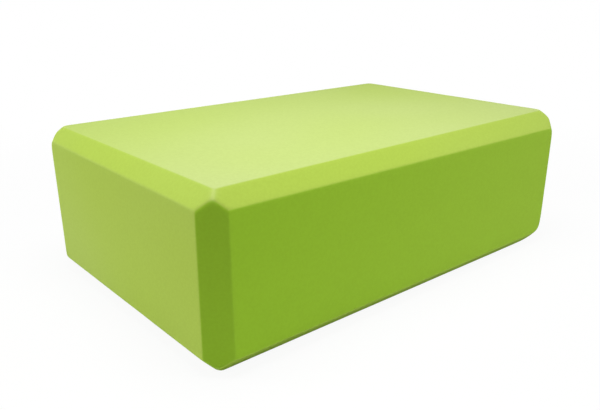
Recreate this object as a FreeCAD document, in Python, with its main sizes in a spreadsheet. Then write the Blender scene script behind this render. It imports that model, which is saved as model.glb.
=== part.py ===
import FreeCAD, Part
import Sketcher
import os

# Yoga block: one piece of firm closed-cell foam, a cuboid with bevels along all twelve edges.
# X runs along the length, Y along the width and Z up, all in millimetres.
# The origin is the middle of the large face that the block rests on.

# The features follow the order in which such a block is cut. A blank is sawn from thick sheet, then
# bevelling cuts run straight along the edges and out past both ends. Where three cuts cross at a
# corner they leave no extra facet: the bevels meet in three mitre lines and one point, so each
# upright bevel ends in a small gable. Last, every arris is rubbed down a little.

SIZES = {
    "block_length": 230,  # over the two ends
    "block_width": 150,  # over the two long sides
    "block_height": 75,  # over the two large faces
    "face_bevel": 8,  # leg of the bevels round the two large faces
    "upright_bevel": 9,  # leg of the bevels on the four upright edges
    "arris_radius": 1.5,  # rounding of every arris and mitre that the bevels leave
    "cutter_overrun": 4,  # how far a bevelling cut reaches out past the foam
}

# The numbers that a sketch gives to the two ends of a line and to its own origin
START = 1
END = 2
ORIGIN = (-1, START)


def add_size_sheet(doc):
    """Writes the driving sizes into a spreadsheet, each under an alias of the same name."""
    sheet = doc.addObject("Spreadsheet::Sheet", "Sizes")
    for row, (name, value) in enumerate(SIZES.items(), start=1):
        sheet.set(f"A{row}", name)
        sheet.set(f"B{row}", str(value))
        sheet.setAlias(f"B{row}", name)
    doc.recompute()


def add_sketch(body, name, role):
    """Adds an empty sketch on one of the body's own origin planes."""
    sketch = body.newObject("Sketcher::SketchObject", name)
    plane = next(feature for feature in body.Origin.OriginFeatures if feature.Role == role)
    sketch.AttachmentSupport = (plane, [""])
    sketch.MapMode = "FlatFace"
    return sketch


def draw_outline(sketch, corners):
    """Draws a closed outline of straight lines and returns the number of its first line."""
    points = [FreeCAD.Vector(across, up, 0) for across, up in corners]
    following = points[1:] + points[:1]
    lines = [Part.LineSegment(here, there) for here, there in zip(points, following)]
    first = sketch.addGeometry(lines, False)[0]
    for step in range(len(lines)):
        next_step = (step + 1) % len(lines)
        join = Sketcher.Constraint("Coincident", first + step, END, first + next_step, START)
        sketch.addConstraint(join)
    return first


def tie(sketch, direction, start, end, expression):
    """Ties the distance from one point to another to the sheet."""
    drawn = sketch.evalExpression(expression)
    number = sketch.addConstraint(Sketcher.Constraint(direction, *start, *end, drawn))
    sketch.setExpression(f"Constraints[{number}]", expression)


def add_blank(body):
    """Sawn cuboid: a rectangle about the origin, raised by the block's height."""
    sketch = add_sketch(body, "blank_outline", "XY_Plane")
    half_length = sketch.evalExpression("Sizes.block_length / 2")
    half_width = sketch.evalExpression("Sizes.block_width / 2")
    corners = [
        (-half_length, -half_width),
        (half_length, -half_width),
        (half_length, half_width),
        (-half_length, half_width),
    ]
    front = draw_outline(sketch, corners)
    right, back, left = front + 1, front + 2, front + 3
    for line in (front, back):
        sketch.addConstraint(Sketcher.Constraint("Horizontal", line))
    for line in (right, left):
        sketch.addConstraint(Sketcher.Constraint("Vertical", line))
    sketch.addConstraint(Sketcher.Constraint("Symmetric", front, START, right, END, *ORIGIN))
    tie(sketch, "DistanceX", (front, START), (front, END), "Sizes.block_length")
    tie(sketch, "DistanceY", (right, START), (right, END), "Sizes.block_width")
    blank = body.newObject("PartDesign::Pad", "foam_blank")
    blank.Profile = sketch
    blank.setExpression("Length", "Sizes.block_height")
    body.Document.recompute()


def draw_offcut(sketch, side, across, end, up, short_side):
    """Draws the triangle that a bevelling cut takes off one edge, seen along that edge.

    The outer corner lies across and up from the origin, on the side and at the end that the signs
    give. From there two equal short sides run back over the foam, one level and one upright.
    """
    corner_across = side * sketch.evalExpression(across)
    corner_up = end * sketch.evalExpression(up)
    run = sketch.evalExpression(short_side)
    corners = [
        (corner_across, corner_up),
        (corner_across - side * run, corner_up),
        (corner_across, corner_up - end * run),
    ]
    level = draw_outline(sketch, corners)
    upright = level + 2
    sketch.addConstraint(Sketcher.Constraint("Horizontal", level))
    sketch.addConstraint(Sketcher.Constraint("Vertical", upright))
    sketch.addConstraint(Sketcher.Constraint("Equal", level, upright))
    outer = (level, START)
    inner = (level, END)
    tie(sketch, "DistanceX", *((inner, outer) if side > 0 else (outer, inner)), short_side)
    tie(sketch, "DistanceX", *((ORIGIN, outer) if side > 0 else (outer, ORIGIN)), across)
    tie(sketch, "DistanceY", *((ORIGIN, outer) if end > 0 else (outer, ORIGIN)), up)


def add_bevels(body, name, role, across, above, below, leg):
    """Bevels the four parallel edges that stand square to an origin plane.

    Across, above and below are how far the foam reaches from the plane's origin to both sides,
    upwards and downwards. The slope of each offcut crosses the two faces at one leg from the edge,
    and its short sides lie one overrun outside the foam.
    """
    before = body.Tip.Shape.Volume
    sketch = add_sketch(body, f"{name}_offcuts", role)
    for side in (-1, 1):
        for end, reach in ((-1, below), (1, above)):
            draw_offcut(
                sketch,
                side,
                f"{across} + Sizes.cutter_overrun",
                end,
                f"{reach} + Sizes.cutter_overrun",
                f"{leg} + 2 * Sizes.cutter_overrun",
            )
    bevels = body.newObject("PartDesign::Pocket", name)
    bevels.Profile = sketch
    bevels.Type = "ThroughAll"
    bevels.SideType = "Symmetric"
    body.Document.recompute()
    if not bevels.Shape.Volume < before:
        raise RuntimeError(f"{name} took nothing off the foam")


def add_softened_arrises(body):
    """Rounds every arris and mitre by the same small radius."""
    cut_block = body.Tip
    arrises = [f"Edge{number}" for number in range(1, len(cut_block.Shape.Edges) + 1)]
    softened = body.newObject("PartDesign::Fillet", "softened_arrises")
    softened.Base = (cut_block, arrises)
    softened.UseAllEdges = True
    softened.setExpression("Radius", "Sizes.arris_radius")
    body.Document.recompute()


def add_foam_block(doc):
    """The whole block, from the sawn blank to the softened arrises."""
    body = doc.addObject("PartDesign::Body", "foam_block")
    body.Label = "foam_block"
    half_length = "Sizes.block_length / 2"
    half_width = "Sizes.block_width / 2"
    height = "Sizes.block_height"
    add_blank(body)
    add_bevels(body, "upright_bevels", "XY_Plane", half_length, half_width, half_width, "Sizes.upright_bevel")
    add_bevels(body, "end_bevels", "XZ_Plane", half_length, height, "0", "Sizes.face_bevel")
    add_bevels(body, "side_bevels", "YZ_Plane", half_width, height, "0", "Sizes.face_bevel")
    add_softened_arrises(body)
    return body


def check(doc, pieces):
    """Stops if any object of the document failed or a piece is not one sound solid."""
    for item in doc.Objects:
        if "Invalid" in item.State or "Error" in item.State:
            raise RuntimeError(f"{item.Name} failed: {item.State}")
    for piece in pieces:
        shape = piece.Shape
        if shape.isNull() or not shape.isValid() or len(shape.Solids) != 1:
            raise RuntimeError(f"{piece.Label} is not one sound solid")


def write(pieces):
    """Writes each piece to a file of its own name and prints its size."""
    os.makedirs("parts", exist_ok=True)
    for piece in pieces:
        box = piece.Shape.BoundBox
        piece.Shape.exportStep(f"parts/{piece.Label}.step")
        print(f"{piece.Label}: {box.XLength:.2f} x {box.YLength:.2f} x {box.ZLength:.2f} mm,"
              f" {piece.Shape.Volume:.0f} mm3, {len(piece.Shape.Faces)} faces")


doc = FreeCAD.newDocument("yoga_block")
add_size_sheet(doc)
pieces = [add_foam_block(doc)]
doc.recompute()
check(doc, pieces)
write(pieces)
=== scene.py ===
# %% [markdown]
# # A foam yoga block
# The object is one piece of firm closed-cell foam: a cuboid with a bevel along every edge. It has no
# cover, seam or fastener, so everything that makes it look real is in its outline, in the softness of
# its arrises, and in the matte surface of the foam under soft light. This lesson builds those in turn.
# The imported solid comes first, as the fixed frame that gives the block its size and place.

# %% Load the frame
import math

import bpy
import numpy as np
from mathutils import Matrix, Vector


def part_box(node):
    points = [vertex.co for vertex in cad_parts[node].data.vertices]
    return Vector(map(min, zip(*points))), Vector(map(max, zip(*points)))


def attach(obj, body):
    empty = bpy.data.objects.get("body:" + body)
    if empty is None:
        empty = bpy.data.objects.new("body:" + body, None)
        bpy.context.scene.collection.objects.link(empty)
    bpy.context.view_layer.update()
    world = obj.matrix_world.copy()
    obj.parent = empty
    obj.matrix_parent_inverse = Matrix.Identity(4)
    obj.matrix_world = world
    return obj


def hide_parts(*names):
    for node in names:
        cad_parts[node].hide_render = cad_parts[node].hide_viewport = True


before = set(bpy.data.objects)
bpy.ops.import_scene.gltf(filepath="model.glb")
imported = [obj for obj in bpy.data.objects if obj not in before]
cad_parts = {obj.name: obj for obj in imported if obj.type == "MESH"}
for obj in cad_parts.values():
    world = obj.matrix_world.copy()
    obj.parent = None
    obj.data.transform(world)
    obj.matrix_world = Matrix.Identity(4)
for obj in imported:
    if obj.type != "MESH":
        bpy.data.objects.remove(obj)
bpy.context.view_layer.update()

MM = 0.001
block_low, block_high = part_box("foam_block")
block_size = np.array(block_high) - np.array(block_low)
block_middle = (np.array(block_high) + np.array(block_low)) / 2
half_size = block_size / 2
print("solid block, mm:", np.round(block_size / MM, 2))

# %% [markdown]
# ## The camera
# The photograph looks down on one corner of the block, from close by, so the near corner is large and
# the edges run together strongly. A long lens further off could frame the block the same, but it would
# lose that. Place, turn, tilt and lens were therefore worked out together, from how the block's straight
# edges run in the photograph. The camera stands in millimetres from the block's own origin, and a little
# roll makes up for a camera that wasn't held quite level.

# %% Camera
CAMERA_PLACE = Vector((-223.9, -251.8, 143.3)) * MM
CAMERA_HEADING = math.radians(40.25)  # from +Y towards +X
CAMERA_TILT = math.radians(-19.11)  # below the horizon
CAMERA_ROLL = math.radians(-0.22)
SENSOR_WIDTH = 36.0
LENS_LENGTH = 39.05


def photo_camera():
    """Level camera facing +Y, then rolled about its own line of sight, tilted and turned."""
    camera = bpy.data.objects.new("photo_camera", bpy.data.cameras.new("photo_camera"))
    camera.data.sensor_width = SENSOR_WIDTH
    camera.data.lens = LENS_LENGTH
    turn = Matrix.Rotation(-CAMERA_HEADING, 4, "Z")
    tilt = Matrix.Rotation(math.pi / 2 + CAMERA_TILT, 4, "X")
    roll = Matrix.Rotation(CAMERA_ROLL, 4, "Z")
    camera.matrix_world = Matrix.Translation(CAMERA_PLACE) @ turn @ tilt @ roll
    bpy.context.scene.collection.objects.link(camera)
    bpy.context.scene.camera = camera
    return camera


camera_distance = (photo_camera().location - Vector(block_middle)).length
print("camera stands", round(camera_distance / MM), "mm from the block's middle")

# %% [markdown]
# ## The bevels
# A bevel is a straight cut that takes the same leg off both faces of an edge. On the real block the legs
# aren't all alike, because foam gives under the knife. In the photograph the bevel on top of the long side
# widens from the near corner to the far right one, and the bevel on top of the end narrows a little away
# from the near corner. So each kind of bevel has a share of its usual leg for each corner, and runs evenly
# from one corner to the next. Corners that don't show keep about the usual leg.

# %% Legs of the bevels
FACE_LEG = 8.0 * MM
UPRIGHT_LEG = 9.0 * MM
# One share for each corner, in the order x low or high, then y, then z
SIDE_LEG_SHARES = np.array([[[1.1, 0.8], [1.0, 0.85]], [[0.8, 1.1], [1.0, 1.25]]])
END_LEG_SHARES = np.array([[[0.95, 0.9], [0.9, 0.8]], [[1.0, 0.8], [1.0, 0.85]]])
UPRIGHT_LEG_SHARES = np.array([[[1.0, 0.95], [1.05, 0.85]], [[1.1, 0.9], [1.0, 1.0]]])


def between_corners(shares, place):
    """Trilinear mean of the eight corners' shares. Place runs from 0 to 1 along X, Y and Z."""
    along_x = shares[0] + place[:, 0, None, None] * (shares[1] - shares[0])
    along_y = along_x[:, 0] + place[:, 1, None] * (along_x[:, 1] - along_x[:, 0])
    return along_y[:, 0] + place[:, 2] * (along_y[:, 1] - along_y[:, 0])


print("side legs, mm:", np.round(FACE_LEG * SIDE_LEG_SHARES.ravel() / MM, 1))
print("end legs, mm:", np.round(FACE_LEG * END_LEG_SHARES.ravel() / MM, 1))
print("upright legs, mm:", np.round(UPRIGHT_LEG * UPRIGHT_LEG_SHARES.ravel() / MM, 1))

# %% [markdown]
# ## The planes of the block
# A block with sharp arrises is what lies inside six faces and twelve bevels. The block is alike about its
# middle, apart from the legs, so for any point only six of those planes count: the nearest of each pair of
# faces, and the three bevels between those. The distances to them are all that the shape needs.

# %% Distances to the planes
SQRT_HALF = math.sqrt(0.5)


def place_in_block(points):
    """Place of each point from 0 to 1 along X, Y and Z, for points about the middle."""
    return np.clip(points / block_size + 0.5, 0, 1)


def plane_distances(points):
    """Distances outside the end, long side, large face, end bevel, side bevel and upright bevel.

    A face's distance is the coordinate's size less the half size. A bevel's is the sum of two such
    distances plus its leg, times the square root of a half, because the bevel lies at 45 degrees.
    """
    end, side, large = (np.abs(points) - half_size).T
    place = place_in_block(points)
    end_bevel = end + large + FACE_LEG * between_corners(END_LEG_SHARES, place)
    side_bevel = side + large + FACE_LEG * between_corners(SIDE_LEG_SHARES, place)
    upright_bevel = end + side + UPRIGHT_LEG * between_corners(UPRIGHT_LEG_SHARES, place)
    bevels = np.column_stack([end_bevel, side_bevel, upright_bevel]) * SQRT_HALF
    return np.column_stack([end, side, large, bevels])


print("middle to the planes, mm:", np.round(-plane_distances(np.zeros((1, 3)))[0] / MM, 1))

# %% [markdown]
# ## Soft arrises and rounder mitres
# The largest of the distances says how far outside the foam a point is, but a plain maximum gives knife
# edges. A soft maximum, the logarithm of a sum of exponentials, does the same on the open faces and rounds
# every arris by itself, which no Bevel modifier does as evenly where three bevels meet in a point.
# In the photograph the arrises round the large faces and beside the upright bevels are crisper than those
# where a bevel runs into a side. So each plane has a softness, and an arris takes the mean of its two. The
# mitres between bevels are rounder, most of all at the low corner on the far right. So the three bevels
# are joined first, with a softness for each corner.

# %% Soft distance to the foam
# In the order of the distances: end, long side, large face, then the bevels of ends, sides and uprights
PLANE_SOFTNESS = np.array([0.22, 0.22, 0.1, 0.22, 0.22, 0.08]) * MM
SHARE_SOFTNESS = 0.3 * MM
MITRE_SOFTNESS = 0.5 * MM
# One share for each corner, in the order x low or high, then y, then z
MITRE_SHARES = np.array([[[1.0, 1.3], [1.0, 2.2]], [[4.0, 2.2], [2.0, 2.0]]])


def plane_shares(distances, softness):
    """Exponential of each plane's distance over the softness, divided by the sum over all six."""
    weights = np.exp((distances - distances.max(axis=1, keepdims=True)) / softness)
    return weights / weights.sum(axis=1, keepdims=True)


def soft_maximum(distances, softness):
    """Softness times the logarithm of the summed exponentials of distance over softness."""
    largest = distances.max(axis=1)
    rest = np.exp((distances - largest[:, None]) / softness[:, None])
    return largest + softness * np.log(rest.sum(axis=1))


def outside_foam(points):
    """Soft distance of each point outside the foam, negative inside."""
    distances = plane_distances(points)
    faces, bevels = np.split(distances, 2, axis=1)
    mitre_softness = MITRE_SOFTNESS * between_corners(MITRE_SHARES, place_in_block(points))
    arris_softness = plane_shares(distances, SHARE_SOFTNESS) @ PLANE_SOFTNESS
    bevel = soft_maximum(bevels, mitre_softness)
    return soft_maximum(np.column_stack([faces, bevel]), arris_softness)


print("middle lies", round(-outside_foam(np.zeros((1, 3)))[0] / MM, 1), "mm inside")

# %% [markdown]
# ## A grid round the block
# The surface is a grid of two parameters on each of six sides, with the grid lines close together along
# the edges, where the bevels and arrises are, and wide apart on the flats. Neighbouring sides share their
# border points, so the skin is closed without any welding afterwards.

# %% Grid on the six sides
EDGE_BAND = 13.0 * MM
EDGE_STEPS = 44
FLAT_STEP = 4.0 * MM
# Steps across and up to the four corners of a quad, in turn
QUAD_STEPS = ((0, 0), (1, 0), (1, 1), (0, 1))


def grid_ticks(half):
    """Ticks from minus half to plus half: small even steps in both edge bands, wider ones between."""
    flat_half = half - EDGE_BAND
    band = np.linspace(0, EDGE_BAND, EDGE_STEPS, endpoint=False)
    flat = np.linspace(-flat_half, flat_half, round(2 * flat_half / FLAT_STEP) + 1)
    return np.concatenate([band - half, flat, half - band[::-1]])


def box_skin(ticks):
    """Points and quads of the outside of a box lattice.

    Each side holds one lattice index at its first or last tick and lets the other two run over a grid.
    A point's number comes from its three indices, so two sides that meet give it the same number.
    """
    counts = [len(line) for line in ticks]
    sides = []
    for axis in range(3):
        across, up = (axis + 1) % 3, (axis + 2) % 3
        across_index, up_index = np.indices((counts[across] - 1, counts[up] - 1))
        for held in (0, counts[axis] - 1):
            corners = []
            for step_across, step_up in QUAD_STEPS:
                index = [None, None, None]
                index[axis] = np.full(across_index.shape, held)
                index[across] = across_index + step_across
                index[up] = up_index + step_up
                corners.append(np.ravel_multi_index(index, counts))
            quads = np.stack(corners, axis=-1).reshape(-1, 4)
            sides.append(quads if held else quads[:, ::-1])
    used, quads = np.unique(np.concatenate(sides), return_inverse=True)
    index = np.unravel_index(used, counts)
    points = np.stack([line[i] for line, i in zip(ticks, index)], axis=1)
    return points, quads.reshape(-1, 4)


box_points, block_quads = box_skin([grid_ticks(half) for half in half_size])
print("grid:", len(box_points), "points,", len(block_quads), "quads")

# %% [markdown]
# ## From the grid to the foam's surface
# Each grid point is drawn inwards until it lies on the foam. It moves along a ray from a smaller box inside
# the block: on the flats that ray is square to the face, and round an edge the rays fan out, which spreads
# the grid lines over the bevel. The crossing is found for all points at once by halving.
# A cut foam face is never dead flat, so a slow wave of up to a tenth of a millimetre is let into it.

# %% Surface of the foam
HALVINGS = 40
WAVE_DEPTH = 0.1 * MM
WAVE_LENGTH = 55.0 * MM
WAVE_COUNT = 9
WAVE_SEED = 7
waves = np.random.default_rng(WAVE_SEED)
wave_directions = waves.normal(size=(WAVE_COUNT, 3))
wave_phases = waves.uniform(0, 2 * math.pi, WAVE_COUNT)


def slow_wave(points):
    """Half of one plus the mean of a few sine waves in chosen directions, so from 0 to 1."""
    angles = points @ wave_directions.T * (2 * math.pi / WAVE_LENGTH) + wave_phases
    return 0.5 + 0.5 * np.sin(angles).mean(axis=1)


def foam_surface(points):
    """Point on the ray from the inner box to each grid point where distance and wave add up to zero."""
    inner = np.clip(points, EDGE_BAND - half_size, half_size - EDGE_BAND)
    reach = points - inner
    low = np.zeros(len(points))
    high = np.ones(len(points))
    for _ in range(HALVINGS):
        middle = (low + high) / 2
        place = inner + middle[:, None] * reach
        within = outside_foam(place) + WAVE_DEPTH * slow_wave(place) < 0
        low = np.where(within, middle, low)
        high = np.where(within, high, middle)
    return inner + high[:, None] * reach


block_points = foam_surface(box_points)
print("foam surface, mm:", np.round(np.ptp(block_points, axis=0) / MM, 2))

# %% [markdown]
# ## Painted sheen
# The photograph shows the long side and the upright bevels in the deepest green, the end and the other
# bevels yellower, and the large face palest, most of all at the near corner. That paleness follows the
# light, so it is a painted sheen here: the faces that are lit most are painted palest. The long side is
# painted a little paler towards its far end, where it is better lit, and the end that doesn't show is
# painted less pale. The long side gets a little paler towards its far end, and the end that doesn't show
# is taken to be less faded. So each plane has a share of painted sheen, and a point takes the mean of
# them by the share that each plane has in a soft maximum, which is 1 on an open face and passes to the
# next plane across an arris. On the faces the painted sheen is stronger at some corners than at others.

# %% Painted sheen
END_FACE, LONG_SIDE, LARGE_FACE, END_BEVEL, SIDE_BEVEL = range(5)
SHADE_SOFTNESS = 0.1 * MM
# In the order of the distances: end, long side, large face, then the bevels of ends, sides and uprights
# Painted sheen: the better-lit planes are painted paler, the large face most
PAINTED_SHEEN_SHARES = np.array([0.6, 0.1, 1.0, 0.6, 0.55, 0.05])
# How strong the painted sheen is at each corner, in the order x low or high, then y, then z
PAINTED_SHEEN_CORNERS = {
    END_FACE: np.array([[[1.0, 1.0], [1.0, 1.0]], [[0.5, 0.5], [0.5, 0.5]]]),
    LONG_SIDE: np.array([[[0.5, 0.2], [1.0, 1.0]], [[1.9, 1.6], [1.0, 1.0]]]),
    LARGE_FACE: np.array([[[1.0, 1.05], [1.0, 0.8]], [[1.0, 0.9], [1.0, 0.8]]]),
}


def painted_sheen(points):
    """Mean of the planes' painted sheen by their shares, where a plane with corner shares has its own times
    that.
    """
    shares = plane_shares(plane_distances(points), SHADE_SOFTNESS)
    pale = shares @ PAINTED_SHEEN_SHARES
    for plane, corners in PAINTED_SHEEN_CORNERS.items():
        painted_sheen_amount = between_corners(corners, place_in_block(points))
        pale += shares[:, plane] * PAINTED_SHEEN_SHARES[plane] * (painted_sheen_amount - 1)
    return pale


# The painted sheen is stored on the points for the material
measures = {"painted_sheen": painted_sheen(block_points)}
print("paleness:", np.round(np.quantile(measures["painted_sheen"], [0, 0.5, 1]), 2))

# %% [markdown]
# ## Where the foam is worn, and painted highlight and shade
# Handling smooths the arrises of a used block. The ridges where two bevels meet at a corner are painted
# pale, a painted highlight where the light from above catches them, and the lower bevels, close to the
# ground, are painted darker, a painted shade. The photograph shows the last two as a pale ridge at the near
# corner and as a dark line along the lower edge. The same shares, with a wider passage from plane to plane,
# say where those are.

# %% Wear, painted highlight and painted shade
def wear_and_painted_light(points):
    """Nearness to an arris and to a corner ridge, and place on a lower bevel, each from 0 to 1.

    An arris is where the largest share is only a half, so nearness is twice what that lacks of 1. A ridge
    is where two bevels have equal shares, so nearness is twice the root of their product. A lower bevel
    has the sum of the shares of both kinds of bevel, below the block's middle.
    """
    shares = plane_shares(plane_distances(points), SHARE_SOFTNESS)
    end_bevel, side_bevel = shares[:, END_BEVEL], shares[:, SIDE_BEVEL]
    # The ridge measure places a painted highlight, and the lower-bevel measure places painted shade
    return {
        "arris": np.clip(2 * (1 - shares.max(axis=1)), 0, 1),
        "ridge": 2 * np.sqrt(end_bevel * side_bevel),
        "painted_shade": (end_bevel + side_bevel) * (points[:, 2] < 0),
    }


measures.update(wear_and_painted_light(block_points))
print("stored for each point:", list(measures))

# %% [markdown]
# ## The mesh
# The arrays now go into a mesh. They have the block's middle as their zero, so its place in the frame is
# added here, and the object itself stays at the origin. The measures become attributes on the points, and
# the material can read those.

# %% Block mesh
def foam_mesh(name, points, quads, measures):
    """Closed smooth mesh with each measure stored on its points under its own name."""
    mesh = bpy.data.meshes.new(name)
    mesh.from_pydata(points + block_middle, [], quads)
    mesh.polygons.foreach_set("use_smooth", np.ones(len(quads), dtype=bool))
    for measure, values in measures.items():
        attribute = mesh.attributes.new(measure, "FLOAT", "POINT")
        attribute.data.foreach_set("value", values.astype(np.float32))
    mesh.update()
    block = bpy.data.objects.new(name, mesh)
    bpy.context.scene.collection.objects.link(block)
    return block


block = foam_mesh("bevelled_foam", block_points, block_quads, measures)
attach(block, "root")
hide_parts("foam_block")
print("mesh:", len(block.data.vertices), "points,", len(block.data.polygons), "faces")

# %% [markdown]
# ## A material from nodes
# A Blender material is a tree of nodes, in which textures and sums feed the sockets of a shader. It can be
# wired by hand in the shader editor. Here one helper adds a node, makes its settings and fills its inputs,
# so that each step of the finish stays a line or two. All textures are placed by Object coordinates, so
# they stay put on the block from every side.

# %% Empty foam material
def empty_tree(owner):
    """Node tree of a material or world, with nothing in it."""
    owner.use_nodes = True
    owner.node_tree.nodes.clear()
    return owner.node_tree


def add_node(tree, kind, inputs, **settings):
    """Node with its settings made and each input linked to a socket or set to a value."""
    node = tree.nodes.new(kind)
    for name, value in settings.items():
        setattr(node, name, value)
    for name, value in inputs.items():
        if isinstance(value, bpy.types.NodeSocket):
            tree.links.new(value, node.inputs[name])
        else:
            node.inputs[name].default_value = value
    return node


foam = bpy.data.materials.new("lime_foam")
foam_tree = empty_tree(foam)
foam_place = add_node(foam_tree, "ShaderNodeTexCoord", {}).outputs["Object"]
print("material:", foam.name)

# %% [markdown]
# ## Green foam with a painted sheen
# Cut closed-cell foam is matte and coloured through. A single green would look like painted plaster, so the
# lit faces get a painted sheen that lies in slow patches. The stored painted sheen says how strong it is,
# slow noise makes the patches, and a ramp of three greens turns the product of both into colour.

# %% Painted sheen in the colour
# Deep green, then two paler greens that paint the sheen of the lit faces
FOAM_GREEN = (0.28, 0.5, 0.022, 1.0)
FOAM_YELLOWER = (0.367, 0.5, 0.066, 1.0)
FOAM_PAINTED_SHEEN = (0.435, 0.515, 0.2, 1.0)
SHEEN_PATCH_WIDTH = 130.0 * MM
SHEEN_PATCH_DETAIL = 1.0
# Ranges are pairs: the range of a noise or measure, then the range that it is brought to
SHEEN_PATCH_RANGES = ((0.35, 0.65), (0.85, 1.0))


def noise(tree, place, width, detail):
    """Smooth noise from 0 to 1 with swells of about the width."""
    inputs = {"Vector": place, "Scale": 1 / width, "Detail": detail}
    return add_node(tree, "ShaderNodeTexNoise", inputs).outputs["Fac"]


def stored(tree, measure):
    """Measure that the mesh carries on its points."""
    return add_node(tree, "ShaderNodeAttribute", {}, attribute_name=measure).outputs["Fac"]


def between(tree, factor, ranges, way="LINEAR"):
    """Factor brought from the first range to the second and kept within it."""
    (low, high), (first, last) = ranges
    inputs = {"Value": factor, "From Min": low, "From Max": high, "To Min": first, "To Max": last}
    return add_node(tree, "ShaderNodeMapRange", inputs, interpolation_type=way).outputs["Result"]


def arithmetic(tree, operation, first, second):
    """Result of one operation on two factors, such as their product."""
    return add_node(tree, "ShaderNodeMath", {0: first, 1: second}, operation=operation).outputs["Value"]


def graded(tree, factor, colours):
    """Colour from a ramp on which the colours lie at even steps from 0 to 1."""
    node = add_node(tree, "ShaderNodeValToRGB", {"Fac": factor})
    stops = node.color_ramp.elements
    while len(stops) < len(colours):
        stops.new(1.0)
    for number, colour in enumerate(colours):
        stops[number].position = number / (len(colours) - 1)
        stops[number].color = colour
    return node.outputs["Color"]


# Painted sheen: lit faces painted paler, in slow patches that vary at random
patches = between(foam_tree, noise(foam_tree, foam_place, SHEEN_PATCH_WIDTH, SHEEN_PATCH_DETAIL), SHEEN_PATCH_RANGES)
painted_sheen_amount = arithmetic(foam_tree, "MULTIPLY", stored(foam_tree, "painted_sheen"), patches)
with_painted_sheen = graded(foam_tree, painted_sheen_amount, [FOAM_GREEN, FOAM_YELLOWER, FOAM_PAINTED_SHEEN])
print("bloom:", len(foam_tree.nodes), "nodes")

# %% [markdown]
# ## Mottle and cut cells
# Close by, cut foam is finely mottled and full of cells under half a millimetre wide, each with painted
# shade in its pit. Modelling them would take millions of faces. The mottle is noise that shades the colour
# a little, and the cells are a Voronoi texture, whose distance is zero in the middle of each cell, where
# the painted shade is darkest.

# %% Mottle and cells
MOTTLE_SHADE = (0.965, 0.965, 0.95, 1.0)
# Painted shade in the hollow of each cut cell
FOAM_PAINTED_PIT_SHADE = (0.22, 0.4, 0.02, 1.0)
MOTTLE_WIDTH = 1.2 * MM
MOTTLE_DETAIL = 2.0
CELL_WIDTH = 0.45 * MM
MOTTLE_RANGES = ((0.4, 0.6), (0.0, 1.0))
PAINTED_PIT_SHADE_RANGES = ((0.25, 0.0), (0.0, 0.4))


def mixed(tree, factor, first, last, way="MIX"):
    """First colour with the last mixed in by the factor, or with it multiplied in."""
    inputs = {"Factor": factor, "A": first, "B": last}
    return add_node(tree, "ShaderNodeMix", inputs, data_type="RGBA", blend_type=way).outputs["Result"]


mottle = between(foam_tree, noise(foam_tree, foam_place, MOTTLE_WIDTH, MOTTLE_DETAIL), MOTTLE_RANGES)
mottled = mixed(foam_tree, mottle, with_painted_sheen, MOTTLE_SHADE, "MULTIPLY")
cells = add_node(foam_tree, "ShaderNodeTexVoronoi", {"Vector": foam_place, "Scale": 1 / CELL_WIDTH})
cell_distance = cells.outputs["Distance"]
grain_and_pit_shade = mixed(foam_tree, between(foam_tree, cell_distance, PAINTED_PIT_SHADE_RANGES), mottled, FOAM_PAINTED_PIT_SHADE)
print("cells across the block's length:", round(block_size[0] / CELL_WIDTH))

# %% [markdown]
# ## Painted highlight on the ridges, painted shade on the lower bevels
# The painted highlight and painted shade are mixed in last, because they lie over everything else. They
# could be painted by hand, but the measures on the mesh already say where they are, and they keep them in
# place if a size changes.

# %% Painted highlight and shade in the colour
# Painted highlight on the corner ridges and painted shade on the lower bevels
FOAM_PAINTED_HIGHLIGHT = (0.5, 0.615, 0.18, 1.0)
FOAM_PAINTED_SHADE = (0.2, 0.33, 0.01, 1.0)
PAINTED_HIGHLIGHT_RANGES = ((0.0, 0.8), (0.0, 0.55))
PAINTED_SHADE_RANGES = ((0.5, 1.0), (0.0, 0.8))
ridges = between(foam_tree, stored(foam_tree, "ridge"), PAINTED_HIGHLIGHT_RANGES)
with_painted_highlight = mixed(foam_tree, ridges, grain_and_pit_shade, FOAM_PAINTED_HIGHLIGHT)
lower_bevels = between(foam_tree, stored(foam_tree, "painted_shade"), PAINTED_SHADE_RANGES)
foam_colour = mixed(foam_tree, lower_bevels, with_painted_highlight, FOAM_PAINTED_SHADE)
print("colour:", len(foam_tree.nodes), "nodes")

# %% [markdown]
# ## A matte surface
# Foam scatters light widely, so the shader is rough and has hardly any gloss. Only the arrises, which
# handling has smoothed, are less rough. The pits and a slight orange peel are no deeper than a tenth of a
# millimetre, so they are bumps in the shading and not in the mesh.

# %% Finish of the foam
FOAM_GLOSS = 0.1
ROUGHNESS_RANGES = ((0.0, 1.0), (0.8, 0.6))
PEEL_WIDTH = 4.0 * MM
PEEL_DETAIL = 3.0
PEEL_DEPTH = 0.1 * MM
PEEL_STRENGTH = 0.15
PIT_DEPTH = 0.06 * MM
PIT_STRENGTH = 0.25

peel = noise(foam_tree, foam_place, PEEL_WIDTH, PEEL_DETAIL)
peel_inputs = {"Height": peel, "Strength": PEEL_STRENGTH, "Distance": PEEL_DEPTH}
peeled = add_node(foam_tree, "ShaderNodeBump", peel_inputs).outputs["Normal"]
pit_inputs = {"Height": cell_distance, "Strength": PIT_STRENGTH, "Distance": PIT_DEPTH, "Normal": peeled}
pitted = add_node(foam_tree, "ShaderNodeBump", pit_inputs).outputs["Normal"]
shader_inputs = {
    "Base Color": foam_colour,
    "Roughness": between(foam_tree, stored(foam_tree, "arris"), ROUGHNESS_RANGES),
    "Specular IOR Level": FOAM_GLOSS,
    "Normal": pitted,
}
foam_shader = add_node(foam_tree, "ShaderNodeBsdfPrincipled", shader_inputs)
add_node(foam_tree, "ShaderNodeOutputMaterial", {"Surface": foam_shader.outputs["BSDF"]})
block.data.materials.append(foam)
print("foam material:", len(foam_tree.nodes), "nodes")

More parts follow.
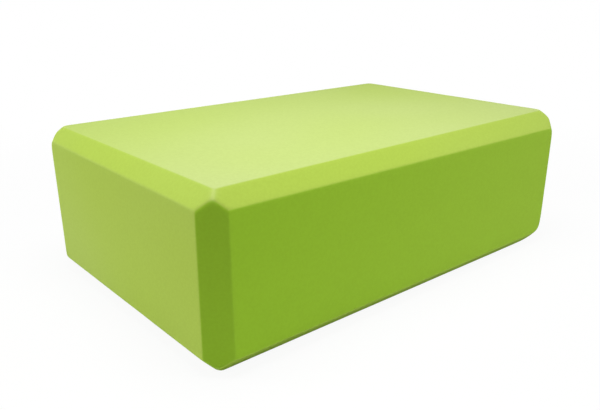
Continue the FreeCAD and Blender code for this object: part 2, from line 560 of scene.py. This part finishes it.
# %% [markdown]
# ## Floor
# The block stands on plain white, with no line where floor and background meet. A large white sheet would
# be grey in its own shading, so it mostly shows its own white to the camera and keeps only a part of the
# real shading, near the block. The block's shadow stays, but faint, and further off the sheet is plain
# white.

# %% White floor
FLOOR_HALF = 3.0
FLOOR_WHITE = (0.86, 0.86, 0.86, 1.0)
PLAIN_WHITE = (1.0, 1.0, 1.0, 1.0)
# Distance from the origin in metres, then the share of its own white that the floor shows
OWN_WHITE_RANGES = ((0.15, 0.45), (0.93, 1.0))


def seen_directly(tree):
    """1 for rays from the camera, reflections and things seen through, 0 for all other light."""
    path = add_node(tree, "ShaderNodeLightPath", {}).outputs
    camera_or_mirror = arithmetic(tree, "MAXIMUM", path["Is Camera Ray"], path["Is Glossy Ray"])
    return arithmetic(tree, "MAXIMUM", camera_or_mirror, path["Is Transmission Ray"])


def floor_white():
    """White sheet that shows its own white to the camera, the more of it the further from the block."""
    material = bpy.data.materials.new("floor_white")
    tree = empty_tree(material)
    place = add_node(tree, "ShaderNodeTexCoord", {}).outputs["Object"]
    distance = add_node(tree, "ShaderNodeVectorMath", {0: place}, operation="LENGTH").outputs["Value"]
    own_white = between(tree, distance, OWN_WHITE_RANGES, "SMOOTHSTEP")
    share = arithmetic(tree, "MULTIPLY", seen_directly(tree), own_white)
    shaded = add_node(tree, "ShaderNodeBsdfDiffuse", {"Color": FLOOR_WHITE}).outputs["BSDF"]
    plain = add_node(tree, "ShaderNodeEmission", {"Color": PLAIN_WHITE}).outputs["Emission"]
    mix = add_node(tree, "ShaderNodeMixShader", {0: share, 1: shaded, 2: plain})
    add_node(tree, "ShaderNodeOutputMaterial", {"Surface": mix.outputs["Shader"]})
    return material


def white_floor():
    """Large flat sheet under the block."""
    height = block_low[2]
    mesh = bpy.data.meshes.new("floor")
    corners = [(x * FLOOR_HALF, y * FLOOR_HALF, height) for x, y in ((-1, -1), (1, -1), (1, 1), (-1, 1))]
    mesh.from_pydata(corners, [], [(0, 1, 2, 3)])
    mesh.materials.append(floor_white())
    floor = bpy.data.objects.new("floor", mesh)
    bpy.context.scene.collection.objects.link(floor)
    return floor


white_floor()
print("floor at", round(block_low[2] / MM, 2), "mm")

# %% [markdown]
# ## Background
# The world shows the same plain white to the camera and to reflections. As a light it would be far too
# strong and would flatten the block, so every other ray meets a dimmer, even light, as from a white room.

# %% White room
ROOM_LIGHT_RANGES = ((0.0, 1.0), (0.29, 1.0))


def white_room():
    """World that is white where it is seen directly and a dimmer even light otherwise."""
    world = bpy.data.worlds.new("studio")
    tree = empty_tree(world)
    strength = between(tree, seen_directly(tree), ROOM_LIGHT_RANGES)
    background = add_node(tree, "ShaderNodeBackground", {"Color": PLAIN_WHITE, "Strength": strength})
    add_node(tree, "ShaderNodeOutputWorld", {"Surface": background.outputs["Background"]})
    return world


bpy.context.scene.world = white_room()
print("world:", bpy.context.scene.world.name)

# %% [markdown]
# ## Studio light
# The upright bevel at the near corner, which faces the camera, is the darkest part of the photograph, and
# the top is the brightest. So the light comes from above and from both sides, with little from the camera's
# own side: a soft box close overhead, one low on the left that lights the end, and a weaker one on the
# right for the long side. The view is set to Standard, so that colours come out about as they are written.

# %% Soft boxes
# Name, place and width in metres, power in watts
SOFT_BOXES = [
    ("overhead", (-0.06, -0.06, 0.4), 0.25, 1.41),
    ("left", (-0.86, 0.74, 0.26), 0.5, 7.25),
    ("right", (0.55, -0.55, 0.36), 0.5, 2.35),
]


def soft_box(name, place, width, power):
    """Square white area light that faces the block's middle."""
    lamp = bpy.data.lights.new(name, "AREA")
    lamp.size = width
    lamp.energy = power
    box = bpy.data.objects.new(name, lamp)
    box.location = place
    aim = Vector(block_middle) - box.location
    box.rotation_euler = aim.to_track_quat("-Z", "Y").to_euler()
    bpy.context.scene.collection.objects.link(box)


for values in SOFT_BOXES:
    soft_box(*values)
bpy.context.scene.view_settings.view_transform = "Standard"
print("soft boxes:", [values[0] for values in SOFT_BOXES])
